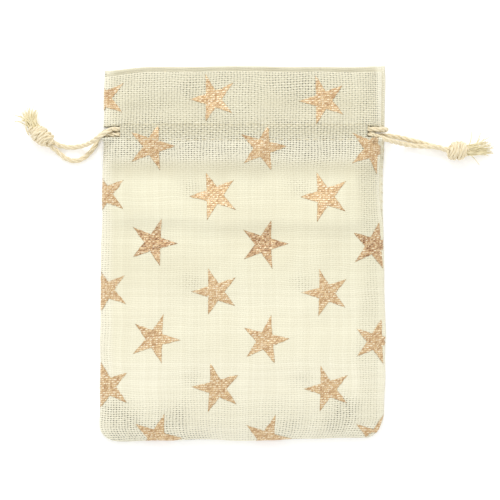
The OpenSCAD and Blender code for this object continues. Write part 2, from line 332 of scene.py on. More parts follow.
def lip_surface(s, v):
    """Outer face of the mouth strip: up the front lip, over its edge and down inside as the facing."""
    s, v = np.broadcast_arrays(np.asarray(s, float), np.asarray(v, float))
    outer = v <= LIP_END
    y = lip_y(v)
    x, side_w = front_across(s, y)
    flat = CASING_HALF + (LIP_MOUTH_FLAT - CASING_HALF) * smooth((y - HINGE_Y) / (LIP_END - HINGE_Y))
    q = np.clip((np.abs(x) - flat) / (side_w - flat), 0, 1)
    loose = smooth((y - STITCH_HIGH) / 6)
    near = np.exp(-np.maximum(0, y - STITCH_HIGH) / 4.0) * smooth((y - STITCH_HIGH) / 1.2)
    wave = loose * unevenness(x, y, 0.04) + 0.25 * near * PUCKER(x, y * 0.2)
    lip = SEAM_Z + (CASING_MARGIN - SEAM_Z + wave) * np.sqrt(1 - q * q)
    tuck = LIP_TUCK * (1 - smooth((y - STITCH_HIGH + 0.2) / 1.6))
    body = np.minimum(CASING_MARGIN, front_height(x, y, side_w) - 0.2)
    body = np.where(y > NOTCH_LOW, CASING_MARGIN, body)
    under = np.where(y > STITCH_HIGH, lip, body + 0.08 * MIDDLE(x, y)) - FACING_DROP
    rounded = LIP_ROUND * (1 - smooth((LIP_END - y) / 0.5))
    z = np.where(outer, lip - tuck - rounded, under + rounded)
    return np.stack([x, y + mouth_wave(x) * smooth((y - 55) / 8), z], axis=-1)


# ---- meshes

def new_object(name, vertices, faces):
    """A smoothly shaded mesh object from points in millimetres."""
    mesh = bpy.data.meshes.new(name)
    mesh.from_pydata((np.asarray(vertices, float) * MM).tolist(), [], [list(map(int, f)) for f in faces])
    mesh.polygons.foreach_set("use_smooth", [True] * len(mesh.polygons))
    mesh.update()
    made = bpy.data.objects.new(name, mesh)
    bpy.context.scene.collection.objects.link(made)
    return made


def write_uv(mesh, coordinates):
    """One UV map, from a pair of millimetre coordinates for each vertex."""
    layer = mesh.uv_layers.new(name="Strip")
    corners = np.empty(len(mesh.loops), int)
    mesh.loops.foreach_get("vertex_index", corners)
    layer.data.foreach_set("uv", np.asarray(coordinates, np.float32)[corners].ravel())


def write_values(mesh, name, values):
    mesh.attributes.new(name, "FLOAT", "POINT").data.foreach_set("value", np.asarray(values, np.float32))


def spans(*marks):
    """Values through stretches given as (start, end, step), with the ends that they share kept once."""
    parts = [np.linspace(a, b, max(2, round(abs(b - a) / step) + 1)) for a, b, step in marks]
    return np.concatenate([parts[0]] + [p[1:] for p in parts[1:]])


def rounding(centre, radius, steps):
    """Values from centre to centre - radius that close up toward the end."""
    return centre - radius * np.sin(np.linspace(0, math.pi / 2, steps + 1))


def thicken(obj, thickness, offset=-1.0):
    """Give a surface its thickness, inward unless offset is 1."""
    shell = obj.modifiers.new("Thickness", "SOLIDIFY")
    shell.thickness = thickness * MM
    shell.offset = offset
    shell.use_even_offset = False


def openness(x, y):
    """How open the weave looks and how much painted shade its holes get, from 0 to 1, over the sack."""
    uneven = 0.5 + 0.5 * BROAD(y * 1.3, x * 1.3) + 0.25 * MIDDLE(y, x)
    # The doubled cloth by the mouth, the cloth above the bottom fold, and a strip along each side edge
    lined = smooth((y - 26.5) / 11) * (1 - 0.25 * smooth((y - STITCH_HIGH) / 2)) * (0.75 + 0.3 * uneven)
    # Painted shade: more shade in the holes along the shaded line above the cords, and a band under the
    # casing opens more
    lined = lined + 0.45 * bell(y - VALLEY_Y, 0.9) + 0.3 * bell(y - 39.5, 4)
    low = 0.85 * smooth((BOTTOM + 19 - y) / 8) * (0.35 + 0.95 * uneven ** 2)
    right = smooth((x - 40 + 1.5 * BROAD(0, y)) / 3) * (1 - smooth((x - 47.2) / 0.9))
    right = right * (0.6 + 0.4 * smooth((y + 5) / 30)) * (0.55 + 0.3 * smooth((y - 40) / 4))
    left = 0.4 * smooth((-45 - x) / 3)
    spread = np.maximum.reduce([lined, low, right, left])
    return np.clip(0.02 + 0.08 * uneven + spread, 0, 1) * (1 - 0.6 * smooth((x - 47.4) / 0.8))


def paleness_and_painted_light(x, y):
    """Painted light, where the cloth looks whiter up to about 1, and painted shade, darker down to -1; at
    the side edges the seam allowances behind also whiten the cloth.
    """
    # Painted light: the lower half brightens in steps toward the fold, then the side edges, the doubled
    # cloth and the lip
    low = 0.3 * smooth((-6 - y) / 10) + 0.35 * smooth((-32 - y) / 10) + 0.3 * smooth((-57 - y) / 6)
    low = low + 0.7 * smooth((-62.6 - y) / 2)
    rolled = 0.05 + 1.05 * smooth((y - ROLL_START) / 16)
    sides = 0.95 * smooth((-44.5 - x) / 4) + rolled * smooth((x - 46.3) / 2.4)
    lined = 0.8 * smooth((y - 30.5) / 4) * (1 - smooth((y - CASING_Y + 4.0) / 4))
    lip = 0.3 - 0.2 * bell(y - 53.5, 3) + 0.5 * bell(y - STITCH_HIGH - 0.6, 0.7)
    lip = lip * smooth((y - STITCH_HIGH + 0.1) / 0.6)
    # Painted shade along the shaded line above the cords
    return np.clip(low + sides + lined + lip - 0.5 * bell(y - VALLEY_Y, 0.8), -1, 1.2)


def sheet(name, surface, s_values, v_values, drop):
    """A strip of cloth as a grid over its own coordinates, without the faces that drop() names."""
    s, v = np.meshgrid(s_values, v_values)
    points = surface(s, v)
    rows, cols = s.shape
    index = np.arange(rows * cols).reshape(rows, cols)
    quads = np.stack([index[:-1, :-1], index[:-1, 1:], index[1:, 1:], index[1:, :-1]], axis=-1)
    if v_values[0] > v_values[-1]:
        quads = quads[..., ::-1]
    middle_s = (s[:-1, :-1] + s[1:, 1:]) / 2
    middle_v = (v[:-1, :-1] + v[1:, 1:]) / 2
    quads = quads[~drop(middle_s, middle_v)]
    used, packed = np.unique(quads, return_inverse=True)
    points = points.reshape(-1, 3)[used]
    coordinates = np.stack([s.ravel(), v.ravel()], axis=-1)[used]
    cloth = new_object(name, points, packed.reshape(-1, 4))
    write_uv(cloth.data, coordinates)
    x, y = points[:, 0], points[:, 1]
    away_from_edge = 1 - smooth((y - MOUTH + 3.2) / 0.8) * (coordinates[:, 1] < V_MOUTH + 1)
    # Values on the mesh: open weave with painted shade in its holes, double layer, and painted light and
    # whiteness
    open_and_shaded = openness(x, y) + 0.5 * beside_stars(coordinates[:, 0], coordinates[:, 1])
    write_values(cloth.data, "open_weave_and_shade", np.clip(open_and_shaded, 0, 1) * away_from_edge)
    write_values(cloth.data, "double_layer", smooth((y - FACING_END + 0.5 * FINE(x, 0) + 5) / 6.5))
    write_values(cloth.data, "painted_light_and_pale", paleness_and_painted_light(x, y))
    return cloth


def tubes(name, lines, radii, sides=8):
    """Closed round tubes along lines of points, in one mesh. A radius is a number or one value a point."""
    vertices, faces, coordinates = [], [], []
    angles = np.linspace(0, 2 * math.pi, sides, endpoint=False)
    for line, radius in zip(lines, radii, strict=True):
        line = np.asarray(line, float)
        count = len(line)
        radius = np.broadcast_to(np.asarray(radius, float), (count,))
        u, w, along = carried_frames(line)
        spokes = (u[:, None, :] * np.cos(angles)[None, :, None]
                  + w[:, None, :] * np.sin(angles)[None, :, None])
        ring = line[:, None, :] + radius[:, None, None] * spokes
        base = len(vertices)
        vertices.extend(ring.reshape(-1, 3))
        for k in range(count):
            coordinates.extend((a / math.pi * 3, along[k]) for a in angles)
        for k in range(count - 1):
            for j in range(sides):
                a = base + k * sides + j
                b = base + k * sides + (j + 1) % sides
                faces.append((a, b, b + sides, a + sides))
        faces.append(tuple(base + j for j in reversed(range(sides))))
        faces.append(tuple(base + (count - 1) * sides + j for j in range(sides)))
    made = new_object(name, vertices, faces)
    write_uv(made.data, coordinates)
    return made


def carried_frames(line):
    """Two side directions carried along a line without twist, and the length up to each point."""
    tangent = np.gradient(line, axis=0)
    tangent /= np.linalg.norm(tangent, axis=1, keepdims=True)
    start = np.array([0.0, 0.0, 1.0])
    if abs(tangent[0] @ start) > 0.9:
        start = np.array([1.0, 0.0, 0.0])
    u = np.empty_like(line)
    for k, direction in enumerate(tangent):
        start = start - direction * (start @ direction)
        start = start / np.linalg.norm(start)
        u[k] = start
    steps = np.linalg.norm(np.diff(line, axis=0), axis=1)
    return u, np.cross(tangent, u), np.concatenate([[0.0], np.cumsum(steps)])


def through(points, step):
    """A smooth line through the points, at even steps."""
    p = np.asarray(points, float)
    p = np.vstack([2 * p[0] - p[1], p, 2 * p[-1] - p[-2]])
    t = np.linspace(0, 1, 12, endpoint=False)[:, None]
    parts = []
    for a, b, c, d in zip(p, p[1:], p[2:], p[3:]):
        parts.append(0.5 * (2 * b + (c - a) * t + (2 * a - 5 * b + 4 * c - d) * t * t
                            + (3 * b - a - 3 * c + d) * t ** 3))
    dense = np.vstack([*parts, p[-2:-1]])
    lengths = np.concatenate([[0], np.cumsum(np.linalg.norm(np.diff(dense, axis=0), axis=1))])
    even = np.linspace(0, lengths[-1], max(2, int(lengths[-1] / step) + 1))
    return np.stack([np.interp(even, lengths, dense[:, k]) for k in range(3)], axis=-1)


def line_length(line):
    return float(np.linalg.norm(np.diff(line, axis=0), axis=1).sum())


# ---- camera

CAMERA_AT = (2.6, 1.4)
VIEW_WIDTH = 175.1
LENS = 150.0
SENSOR = 36.0


def make_camera():
    lens = bpy.data.cameras.new("Camera")
    lens.lens = LENS
    lens.sensor_width = SENSOR
    lens.clip_start = 0.01
    camera = bpy.data.objects.new("Camera", lens)
    height = VIEW_WIDTH * LENS / SENSOR + LOFT * 0.8
    camera.location = (CAMERA_AT[0] * MM, CAMERA_AT[1] * MM, height * MM)
    bpy.context.scene.collection.objects.link(camera)
    bpy.context.scene.camera = camera


make_camera()


# ---- cords

CORD_STEP = 0.45
PLY_OFFSET = 0.46
PLY_R = 0.43
PLY_LAY = 7.8

LEFT_RUN_Y = CASING_Y + 1
RIGHT_RUN_Y = CASING_Y - 1
FRONT_RUN_Z = 8.75
BACK_RUN_Z = 1.45
BIGHT_R = (FRONT_RUN_Z - BACK_RUN_Z) / 2
LEFT_BIGHT_X = HALF_W - 3.2
RIGHT_BIGHT_X = HALF_W - 3.5
EXIT_X = 44

LEFT_FRONT_ROUTE = [
    (-68.2, 40.4, 2.9), (-66, 38.9, 1.9), (-63.6, 38, 1.1), (-60.6, 37.7, 0.95), (-58.2, 37.9, 1.3),
    (-56, 38.3, 2.6), (-54.1, 38.9, 4.9), (-52.4, 39.6, 7.5), (-50.6, 40.7, 9.6), (-48.5, 42, 10.5),
    (-46.3, 43.3, 9.9), (-EXIT_X, LEFT_RUN_Y, FRONT_RUN_Z)]
LEFT_BACK_ROUTE = [
    (-EXIT_X, LEFT_RUN_Y, BACK_RUN_Z), (-47.2, 43.5, 1.2), (-49.6, 42.6, 0.95), (-51.1, 40.9, 0.9),
    (-52, 38.6, 0.9), (-53.9, 36, 0.9), (-56.4, 33.8, 0.9), (-59.2, 32.9, 0.9), (-62.2, 33.6, 0.9),
    (-64.6, 35.4, 1), (-66.4, 36.9, 1.7), (-68.2, 38.4, 2.7)]
RIGHT_FRONT_ROUTE = [
    (73.6, 36.5, 3.9), (71.2, 37.05, 3.3), (68.6, 37.75, 2.95), (65.4, 37.9, 2.7), (61.8, 38.1, 2.05),
    (58.8, 38.5, 1.6), (56.4, 38.9, 2.7), (54.4, 39.2, 4.7), (52.5, 39.5, 6.9), (50.6, 40, 8.5),
    (48.4, 40.7, 9.1), (46.2, 41.4, 8.9), (EXIT_X, RIGHT_RUN_Y, FRONT_RUN_Z)]
RIGHT_BACK_ROUTE = [
    (EXIT_X, RIGHT_RUN_Y, BACK_RUN_Z), (47, RIGHT_RUN_Y, 1.2), (50.5, 41.8, 0.95), (54, 41.45, 0.9),
    (57.6, 40.75, 0.9), (61.4, 39.85, 0.9), (65.2, 38.75, 0.9), (68.6, 37.8, 0.95), (71.4, 37, 1.3),
    (73.6, 36.5, 1.9)]


def bight(side, x, y):
    """The half turn of a cord round the side edge, from the front casing to the back one."""
    turns = [math.pi * k / 8 for k in range(9)]
    middle = (FRONT_RUN_Z + BACK_RUN_Z) / 2
    return [(side * (x + BIGHT_R * math.sin(a)), y, middle + BIGHT_R * math.cos(a)) for a in turns]


def run(x1, x2, y, z):
    """The inner points of a straight run inside a casing."""
    return [(x1 + (x2 - x1) * k / 4, y, z) for k in (1, 2, 3)]


LEFT_ROUTE = (LEFT_FRONT_ROUTE + run(-EXIT_X, LEFT_BIGHT_X, LEFT_RUN_Y, FRONT_RUN_Z)
              + bight(1, LEFT_BIGHT_X, LEFT_RUN_Y) + run(LEFT_BIGHT_X, -EXIT_X, LEFT_RUN_Y, BACK_RUN_Z)
              + LEFT_BACK_ROUTE)
RIGHT_ROUTE = (RIGHT_FRONT_ROUTE + run(EXIT_X, -RIGHT_BIGHT_X, RIGHT_RUN_Y, FRONT_RUN_Z)
               + bight(-1, RIGHT_BIGHT_X, RIGHT_RUN_Y)
               + run(-RIGHT_BIGHT_X, EXIT_X, RIGHT_RUN_Y, BACK_RUN_Z) + RIGHT_BACK_ROUTE)


def plies(line, phase=0.0, swell=1.0):
    """The three twisted strands of a cord along its centreline."""
    u, w, along = carried_frames(line)
    strands = []
    for k in range(3):
        turn = 2 * math.pi * (along / PLY_LAY + k / 3) + phase
        shift = u * np.cos(turn)[:, None] + w * np.sin(turn)[:, None]
        strands.append(line + PLY_OFFSET * swell * shift)
    return strands


def make_cord(side_name, route):
    line = through(route, CORD_STEP)
    cord = tubes(side_name + "_rope", plies(line), [PLY_R] * 3, sides=8)
    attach(cord, side_name + "_drawcord")
    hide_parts(side_name + "_cord")
    return cord, line


left_rope, left_line = make_cord("left", LEFT_ROUTE)
right_rope, right_line = make_cord("right", RIGHT_ROUTE)


# ---- knots and frayed ends

# Where the three wraps of a knot start round it, and the points along each
KNOT_PHASES = (0.0, 2.1, 4.2)
KNOT_STEPS = 180
# Frayed strands: how many, their radii, the spread of their tips, and their lowest centreline
STRANDS = 50
STRAND_R = (0.13, 0.22)
STRAY_R = 0.19
TIP_SPREAD = 0.35
STRAND_FLOOR = 0.22
STRAND_STEPS = np.linspace(0, 1, 12)


def knot_axes(node_at, turn):
    """The knot's middle and its own axes: along the cord, sideways and up."""
    a = math.radians(turn)
    along, sideways = (math.cos(a), math.sin(a), 0), (-math.sin(a), math.cos(a), 0)
    return np.array([node_at, along, sideways, (0, 0, 1)], float)


def knot_line(axes, half, radius, phase, turns):
    """Centreline of one cord that winds round the knot: close wraps over a round body."""
    at, along, sideways, up = axes
    t = np.linspace(-1, 1, KNOT_STEPS)
    reach = half * (t + 0.08 * np.sin(3.1 * t + phase))
    r = radius * np.clip(1 - np.abs(t) ** 3.2, 0, 1) ** 0.5 + 0.2
    a = phase + math.pi * turns * t
    slant = half * (0.16 + 0.09 * math.sin(2 * phase + 1)) * np.cos(a - 0.7)
    slant = slant + 0.12 * np.sin(2.3 * a + phase)
    around = np.outer(r * np.cos(a), sideways) + np.outer(r * np.sin(a), up)
    return at + np.outer(reach + slant, along) + around


def make_knot(side_name, axes, half, radius, turns):
    lines = []
    for phase in KNOT_PHASES:
        lines += plies(knot_line(axes, half, radius, phase, turns), phase)
    core = axes[0] + np.outer(np.linspace(-half * 0.8, half * 0.8, 12), axes[1])
    core_r = radius * np.sqrt(1 - np.linspace(-0.95, 0.95, 12) ** 2)
    knot = tubes(side_name + "_knot_wraps", lines + [core], [PLY_R] * len(lines) + [core_r], sides=8)
    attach(knot, side_name + "_drawcord")
    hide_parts(side_name + "_knot")
    return knot


def tuft_tips(draw, start, fan, strays):
    """The end and the radius of each strand: most end along the fan, and a few stray."""
    tips = []
    for _ in range(STRANDS):
        place = draw.beta(0.9, 0.9) * (len(fan) - 1)
        k = min(int(place), len(fan) - 2)
        tip = fan[k] + (fan[k + 1] - fan[k]) * (place - k)
        end = start + (tip - start) * draw.uniform(0.72, 1.04)
        end = end + draw.normal(0, TIP_SPREAD, 3) * (1, 1, 0.9)
        tips.append((end, draw.uniform(*STRAND_R)))
    return tips + [(np.array(tip, float), STRAY_R) for tip in strays]


def strand_line(draw, start, heading, end):
    """One strand from inside the knot to its end, bowed and curled, and kept above the floor."""
    t = STRAND_STEPS[:, None]
    side = np.array([-heading[1], heading[0], 0.0])
    root = start + side * draw.normal(0, 0.95) + (0, 0, draw.normal(0, 0.6)) - heading * 1.3
    length = np.linalg.norm(end - root)
    bow = root + heading * length * draw.uniform(0.3, 0.5) + draw.normal(0, 0.06 * length, 3)
    line = (1 - t) ** 2 * root + 2 * t * (1 - t) * bow + t * t * end
    turn = draw.uniform(0, 6.28) + STRAND_STEPS * draw.uniform(3, 7)
    curl = draw.uniform(0.1, 0.3) * STRAND_STEPS
    line = line + np.outer(np.sin(turn) * curl, side)
    line[:, 2] = np.maximum(line[:, 2] + np.cos(turn) * curl, STRAND_FLOOR)
    return line


def make_tuft(side_name, start, heading, fan, strays, seed):
    """The cord's frayed ends: strands that leave the knot along heading and spread over a fan of tips."""
    draw = np.random.default_rng(seed)
    start, heading, fan = (np.array(part, float) for part in (start, heading, fan))
    tips = tuft_tips(draw, start, fan, strays)
    lines = [strand_line(draw, start, heading, end) for end, _ in tips]
    radii = [radius * (1 - 0.6 * STRAND_STEPS ** 4) for _, radius in tips]
    tuft = tubes(side_name + "_frayed_ends", lines, radii, sides=5)
    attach(tuft, side_name + "_drawcord")
    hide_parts(side_name + "_tassel")
    return tuft


left_axes = knot_axes((-70.8, 41.5, 3.5), 138)
right_axes = knot_axes((75.8, 36.4, 3.7), 0)
left_knot = make_knot("left", left_axes, 3.75, 2.15, 2.25)
right_knot = make_knot("right", right_axes, 3.0, 2.4, 1.85)
left_tuft = make_tuft(
    "left", (-73.6, 44.4, 3.3), (-0.5, 0.866, 0),
    [(-72.4, 50.2, 2.4), (-74.3, 52.0, 1.6), (-76.0, 51.6, 2.8), (-78.0, 50.4, 1.4), (-79.6, 48.8, 1.2)],
    [(-81.6, 49.6, 1.0), (-81.3, 47.0, 0.8), (-80.4, 46.8, 1.4), (-75.2, 52.8, 1.8), (-72.4, 51.0, 2.6)],
    21)
right_tuft = make_tuft(
    "right", (78.4, 36.5, 3.5), (0.99, -0.1, 0),
    [(86.6, 34.6, 1.2), (88.6, 35.9, 1.6), (89.0, 37.6, 1.4), (87.8, 39.2, 2.4), (85.4, 41.6, 2.0)],
    [(81.0, 44.8, 2.4), (84.2, 43.2, 2.2), (83.8, 31.2, 0.9), (89.4, 38.6, 1.0), (87.1, 41.0, 2.6)], 34)


def declare_cord(rope, line, exit_point):
    [c * MM for c in exit_point]
    line_length(line) * MM


declare_cord(left_rope, left_line, LEFT_FRONT_ROUTE[0])
declare_cord(right_rope, right_line, RIGHT_FRONT_ROUTE[0])


# ---- where the print lies

STAR_R = 8.8
STAR_NOTCH = 3.2
STAR_PITCH = 38.7
STAR_STAGGER = 17.1
STAR_ROW = 16.85
BACK_STAR_ROW = 17.7
# The print is drawn out where the cloth goes round the bottom fold
FOLD_STRETCH = 1.0
LAST_FRONT_ROW = 7
STAR_LIFT = 0.06
STAR_EDGE_LIFT = 0.1
STAR_ANGLES = 80
STAR_RINGS = 13
FOIL_T = 0.04
FIRST_STAR = (-10.4, 54.2)
# How far each row of the front shifts sideways, and how the rows slope
STAR_DRIFT = 0.25
STAR_SLOPE = 0.0125
# Unevenness of the print: the edge, the turn and the size of a star
STAR_SEED = 41
STAR_EDGE_NOISE = 0.026
STAR_TURN_NOISE = 0.035
STAR_SIZE_NOISE = 0.02
# The cloth leans away from the light near this row, and the foil looks duller there
DULL_ROW = 4.0
DULL_HALF = 7
DULL_LEAST = 0.06


def star_radius(angle):
    """Distance from a star's middle to its edge, at an angle from one tip."""
    a = np.abs((angle + math.pi / 5) % (2 * math.pi / 5) - math.pi / 5)
    fifth = math.pi / 5
    return (STAR_R * STAR_NOTCH * math.sin(fifth)
            / (STAR_R * np.sin(a) + STAR_NOTCH * np.sin(fifth - a)))


def star_middles():
    """(s, v, tip angle) of each star of the staggered print, from the mouth's front round to the back."""
    for row in range(-3, 18):
        beyond = max(0, row - LAST_FRONT_ROW)
        v_row = FIRST_STAR[1] - STAR_ROW * (row - beyond) - BACK_STAR_ROW * beyond
        v_row -= FOLD_STRETCH * (row >= LAST_FRONT_ROW)
        odd = row % 2
        for column in range(-2, 3):
            s = FIRST_STAR[0] + STAR_DRIFT * (row - beyond) + STAR_STAGGER * odd + STAR_PITCH * column
            if abs(s) < HALF_W + STAR_R - 1:
                yield s, v_row - STAR_SLOPE * (s + 10), 0.0 if odd else math.pi


def beside_stars(s, v):
    """Patches beside the stars that point left, where the weave looks more open and its holes darker."""
    total = np.zeros(np.shape(s))
    for s0, v0, tip in star_middles():
        if tip:
            total += np.exp(-((s - s0 + 8.5) / 4.2) ** 2 - ((v - v0 - 3.2) / 3.2) ** 2)
    return total


# ---- cloth

# Columns crowd toward the side edges, where the cloth turns down steeply
SIDE_SPAN = HALF_W - CASING_HALF
SIDE_COLUMNS = CASING_HALF + SIDE_SPAN * np.sin(np.linspace(0, math.pi / 2, 19))
MIDDLE_COLUMNS = np.linspace(-CASING_HALF, CASING_HALF, 84)
ALLOWANCE_COLUMNS = HALF_W + np.linspace(0, ALLOWANCE, 6)
S_VALUES = np.concatenate([-ALLOWANCE_COLUMNS[:0:-1], -SIDE_COLUMNS[:0:-1], MIDDLE_COLUMNS,
                           SIDE_COLUMNS[1:], ALLOWANCE_COLUMNS[1:]])


def sack_rows():
    """Rows of the main strip, from the front casing round to the end of the back facing."""
    front = spans((STITCH_HIGH + 0.1, NOTCH_HIGH, 0.2), (NOTCH_HIGH, NOTCH_LOW, 0.35),
                  (NOTCH_LOW, NOTCH_LOW - 4, 0.5), (NOTCH_LOW - 4, BELLY_Y, 1.05))
    fold = rounding(BELLY_Y, BOTTOM_ROUND, 34)[1:]
    back = 2 * BOTTOM - rounding(BOTTOM + BACK_ROUND, BACK_ROUND, 9)[::-1][1:]
    flat = 2 * BOTTOM - spans((BOTTOM + BACK_ROUND, NOTCH_LOW, 1.3), (NOTCH_LOW, NOTCH_HIGH, 0.8),
                              (NOTCH_HIGH, MOUTH - 1, 1.1), (MOUTH - 1, MOUTH, 0.25))[1:]
    facing = V_MOUTH - (MOUTH - spans((MOUTH, MOUTH - 1, 0.15), (MOUTH - 1, NOTCH_HIGH, 1.1),
                                      (NOTCH_HIGH, NOTCH_LOW, 0.4), (NOTCH_LOW, FACING_END, 1.1)))[1:]
    return np.concatenate([front, fold, back, flat, facing])


def outside_sack(s, v):
    """Parts of the main strip's grid that are cut away."""
    reach = np.abs(s)
    y = sack_y(v)
    notch = (reach > CASING_HALF) & (y > NOTCH_LOW) & (y < NOTCH_HIGH)
    facing = v < V_MOUTH
    margins = (reach > HALF_W) & ((y > NOTCH_LOW) | facing | (y < BOTTOM + 7))
    front_top = (reach > CASING_HALF) & (v > NOTCH_LOW)
    return notch | margins | front_top | (facing & (reach > HALF_W - 1.2))


LIP_ROWS = spans((NOTCH_HIGH, STITCH_HIGH + 1.4, 0.25), (STITCH_HIGH + 1.4, LIP_END - 1, 1.0),
                 (LIP_END - 1, LIP_END, 0.2), (LIP_END, LIP_END + 1, 0.2),
                 (LIP_END + 1, 2 * LIP_END - FACING_END, 1.1))
LIP_COLUMNS = S_VALUES[np.abs(S_VALUES) <= HALF_W + 0.001]


def outside_lip(s, v):
    """Parts of the mouth strip's grid that are cut away."""
    y = lip_y(v)
    reach = np.abs(s)
    beside_casing = (reach > CASING_HALF) & (y < NOTCH_HIGH) & (v <= LIP_END)
    beside_bights = (y > STITCH_LOW) & (y < STITCH_HIGH)
    under = (v > LIP_END) & (reach > np.where(beside_bights, CASING_HALF + 1.2, HALF_W - 1.2))
    return beside_casing | under | (reach > HALF_W)


sack_cloth = sheet("sack_cloth", sack_surface, S_VALUES, sack_rows(), outside_sack)
thicken(sack_cloth, CLOTH_T)
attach(sack_cloth, "root")
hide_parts("back_panel", "back_facing", "front_panel", "front_casing",
            "left_seam_allowance", "right_seam_allowance")

mouth_cloth = sheet("mouth_cloth", lip_surface, LIP_COLUMNS, LIP_ROWS, outside_lip)
thicken(mouth_cloth, CLOTH_T)
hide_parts("front_lip", "front_facing")


# ---- foil stars

def star_faces():
    """Faces of one star: a fan round its middle point, then rings of quads."""
    n = STAR_ANGLES
    faces = [(0, 1 + j, 1 + (j + 1) % n) for j in range(n)]
    for ring in range(STAR_RINGS - 1):
        k = 1 + ring * n
        faces += [(k + j, k + n + j, k + n + (j + 1) % n, k + (j + 1) % n) for j in range(n)]
    return [np.array(face) for face in faces]


def above_cloth(surface, s, v):
    """Points just above the cloth, and a little higher where it turns down at the sides."""
    here = surface(s, v)
    normal = np.cross(surface(s + 0.05, v) - here, surface(s, v + 0.05) - here)
    normal /= np.linalg.norm(normal, axis=1, keepdims=True) + 1e-9
    steep = smooth((np.abs(s) - CASING_HALF) / SIDE_SPAN)
    return here + normal * (STAR_LIFT + STAR_EDGE_LIFT * steep)[:, None]


def make_stars(name, surface, y_of, v_low, v_high, drop):
    """The foil print on one strip of cloth, as thin pieces that follow it."""
    angles = np.linspace(0, 2 * math.pi, STAR_ANGLES, endpoint=False)
    shares = np.linspace(0, 1, STAR_RINGS + 1)[1:]
    vertices, faces, coordinates, painted_dull_reflections = [], [], [], []
    disc = star_faces()
    draw = np.random.default_rng(STAR_SEED)
    for s0, v0, tip in star_middles():
        uneven = draw.normal(0, STAR_EDGE_NOISE, STAR_ANGLES)
        turn, grow = draw.normal(0, STAR_TURN_NOISE), draw.normal(1.0, STAR_SIZE_NOISE)
        if not v_low - STAR_R < v0 < v_high + STAR_R:
            continue
        reach = star_radius(angles) * (grow + uneven)
        heading = angles + tip + turn
        s = np.concatenate([[s0], (s0 + np.outer(shares, reach * np.cos(heading))).ravel()])
        v = np.concatenate([[v0], (v0 + np.outer(shares, reach * np.sin(heading))).ravel()])
        s = s * HALF_W / edge_x(np.sign(s), y_of(v))
        base = len(vertices)
        drawn = len(faces)
        for face in disc:
            ms, mv = s[face].mean(), v[face].mean()
            if v_low < mv < v_high and abs(ms) < HALF_W + ALLOWANCE - 0.3 and not drop(ms, mv):
                faces.append(base + face)
        if len(faces) == drawn:
            continue
        v = np.clip(v, v_low, v_high)
        vertices.extend(above_cloth(surface, s, v))
        coordinates.extend(np.stack([s, v], axis=-1))
        # Painted dull reflection, strongest on the row that leans away from the light
        painted_dull_reflections.extend(DULL_LEAST + (1 - DULL_LEAST) * bell(v - DULL_ROW, DULL_HALF))
    used, packed = np.unique(np.concatenate(faces), return_inverse=True)
    faces = np.split(packed, np.cumsum([len(face) for face in faces])[:-1])
    stars = new_object(name, np.array(vertices)[used], faces)
    write_uv(stars.data, np.array(coordinates)[used])
    write_values(stars.data, "painted_dull_reflection", np.array(painted_dull_reflections)[used])
    thicken(stars, FOIL_T, 1.0)
    return stars


def outside_sack_print(s, v):
    """Where the main strip has no print: cut away, or worn off the rolled edge of the back."""
    return outside_sack(s, v) | ((v < BOTTOM + 2) & (np.abs(s) > HALF_W - 2.2))


sack_stars = make_stars("sack_foil_stars", sack_surface, sack_y, V_MOUTH - 18, STITCH_HIGH,
                        outside_sack_print)
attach(sack_stars, "root")
lip_stars = make_stars("lip_foil_stars", lip_surface, lip_y, STITCH_HIGH, 2 * LIP_END - STITCH_HIGH,
                       outside_lip)


# ---- stitches

THREAD_R = 0.14
STITCH_L = 2.1
STITCH_PITCH = 3.0


def stitch_lines(rows):
    """Short arcs of thread along rows of the main strip, sunk into the cloth at both ends."""
    count = int(2 * (CASING_HALF - 1) / STITCH_PITCH)
    starts = (np.arange(count) - count / 2) * STITCH_PITCH + 0.4
    t = np.linspace(0, 1, 7)
    lines = []
    for v in rows:
        for start in starts:
            line = sack_surface(start + STITCH_L * t, v)
            line[:, 2] += np.sin(t * math.pi) ** 0.5 * 0.3 - 0.18
            lines.append(line)
    return lines


def make_stitches(name, lines, node):
    thread = tubes(name, lines, [THREAD_R] * len(lines), sides=6)
    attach(thread, "root")
    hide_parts(*node)
    return thread


front_rows = (STITCH_LOW, STITCH_HIGH)
back_rows = [V_MOUTH - (MOUTH - y) for y in front_rows]
front_thread = make_stitches("front_casing_thread", stitch_lines(front_rows), ["front_casing_stitches"])
back_thread = make_stitches("back_casing_thread", stitch_lines(back_rows), ["back_casing_stitches"])


def seam_lines(side):
    """Bits of thread that show across the groove of a side seam."""
    lines = []
    for y in np.arange(BOTTOM + 9, NOTCH_LOW - 1, STITCH_PITCH):
        x = side * (float(edge_x(np.array(side), y)) - 0.1)
        z = SEAM_Z + np.array([-0.5, -0.3, 0, 0.3, 0.5])
        lines.append(np.stack([x + side * np.array([-0.5, -0.05, 0, -0.05, -0.5]),
                               y + np.array([-0.5, -0.25, 0, 0.25, 0.5]), z], axis=-1))
    return lines


left_thread = make_stitches("left_seam_thread", seam_lines(-1), ["left_side_stitches"])
right_thread = make_stitches("right_seam_thread", seam_lines(1), ["right_side_stitches"])


# ---- materials

def tint(red, green, blue):
    """A linear colour from display values between 11 and 255."""
    return (*[((c / 255 + 0.055) / 1.055) ** 2.4 for c in (red, green, blue)], 1)


